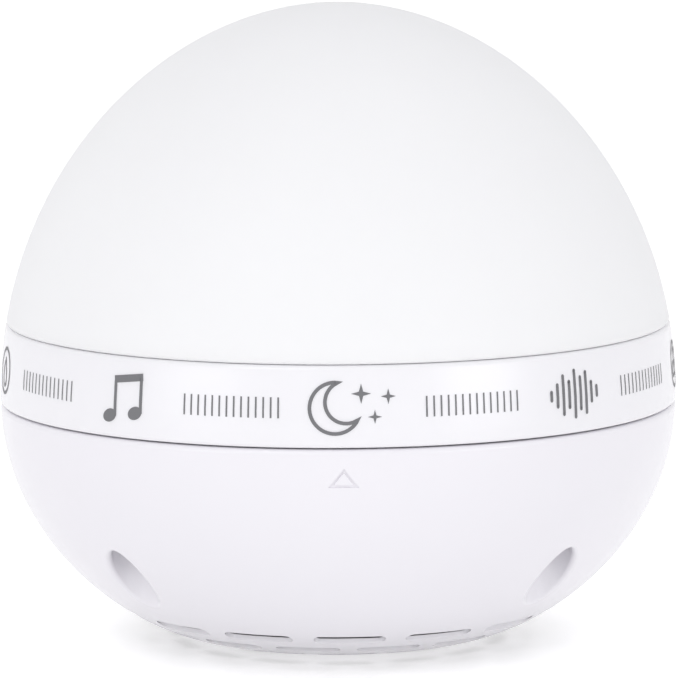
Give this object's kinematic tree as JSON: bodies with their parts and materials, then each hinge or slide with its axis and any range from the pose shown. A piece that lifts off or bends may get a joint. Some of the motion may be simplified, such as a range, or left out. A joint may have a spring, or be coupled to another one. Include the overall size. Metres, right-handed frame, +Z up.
{
  "type": "sleep soother",
  "caption": "Egg-shaped sleep soother: a translucent night-light dome and a slotted speaker base with a turning, printed sound-selector ring between them.",
  "frame": {"origin": "on the table under the middle of the body, in the plane of the feet's undersides", "axes": "+Z up along the ring's axis; the pointer triangle faces -Y, the buttons and the power inlet face +Y; +X is to the viewer's right"},
  "size_m": [0.12, 0.12, 0.1129],
  "materials": {
    "shell_white": "satin moulded plastic",
    "ring_white": "satin moulded plastic",
    "dome_white": "satin translucent plastic",
    "button_white": "satin moulded plastic",
    "inner_plastic": "plain moulded plastic",
    "acetal": "smooth",
    "foot_rubber": "matte",
    "screw_steel": "zinc plated",
    "shaft_steel": "bright",
    "encoder_case": "matte",
    "board_green": "solder mask",
    "connector_white": "matte",
    "led_yellow": "glossy",
    "capacitor_can": "plain",
    "lead_cover": "matte",
    "basket_steel": "black",
    "magnet_black": "matte",
    "yoke_steel": "plated",
    "coil_copper": "varnished wire",
    "cone_paper": "pressed paper",
    "surround_rubber": "matte"
  },
  "bodies": {
    "base": {"base_housing": "shell_white", "rubber_feet": "foot_rubber", "base_screws": "screw_steel", "deck": "inner_plastic", "glide_ring": "acetal", "encoder_body": "encoder_case", "dome_seat": "inner_plastic", "seat_screws": "screw_steel", "dome_shade": "dome_white", "light_board": "board_green", "leds": "led_yellow", "light_screws": "screw_steel", "light_lead": "lead_cover", "main_board": "board_green", "board_screws": "screw_steel", "sound_chip": "encoder_case", "capacitors": "capacitor_can", "connectors": "connector_white", "button_switches": "encoder_case", "usb_socket": "shaft_steel", "speaker_gasket": "surround_rubber", "speaker_basket": "basket_steel", "speaker_surround": "surround_rubber", "speaker_cone": "cone_paper", "speaker_voice_coil": "coil_copper", "speaker_dust_cap": "cone_paper", "speaker_magnet": "magnet_black", "speaker_yoke": "yoke_steel", "speaker_screws": "screw_steel", "speaker_lead": "lead_cover"},
    "selector": {"selector_ring": "ring_white", "ring_gear": "acetal"},
    "pinion": {"drive_pinion": "acetal", "encoder_shaft": "shaft_steel"},
    "volume_down_key": {"volume_down_button": "button_white"},
    "volume_up_key": {"volume_up_button": "button_white"},
    "timer_key": {"timer_button": "button_white"},
    "light_key": {"light_button": "button_white"}
  },
  "joints": [
    {"name": "ring_turn", "type": "hinge", "parent": "base", "child": "selector", "pos_m": [0, 0, 0.0496], "axis": [0, 0, 1], "continuous": true},
    {"name": "pinion_turn", "type": "hinge", "parent": "base", "child": "pinion", "pos_m": [0.0439, 0, 0.0468], "axis": [0, 0, 1], "continuous": true},
    {"name": "volume_down_press", "type": "slide", "parent": "base", "child": "volume_down_key", "axis": [-0.454, -0.891, 0], "range_m": [0, 0.0005], "stiffness_N_per_m": 2000},
    {"name": "volume_up_press", "type": "slide", "parent": "base", "child": "volume_up_key", "axis": [-0.2588, -0.9659, 0], "range_m": [0, 0.0005], "stiffness_N_per_m": 2000},
    {"name": "timer_press", "type": "slide", "parent": "base", "child": "timer_key", "axis": [0.2588, -0.9659, 0], "range_m": [0, 0.0005], "stiffness_N_per_m": 2000},
    {"name": "light_press", "type": "slide", "parent": "base", "child": "light_key", "axis": [0.454, -0.891, 0], "range_m": [0, 0.0005], "stiffness_N_per_m": 2000}
  ],
  "couplings": [
    {"joint": "pinion_turn", "follows": "ring_turn", "ratio": 9}
  ]
}
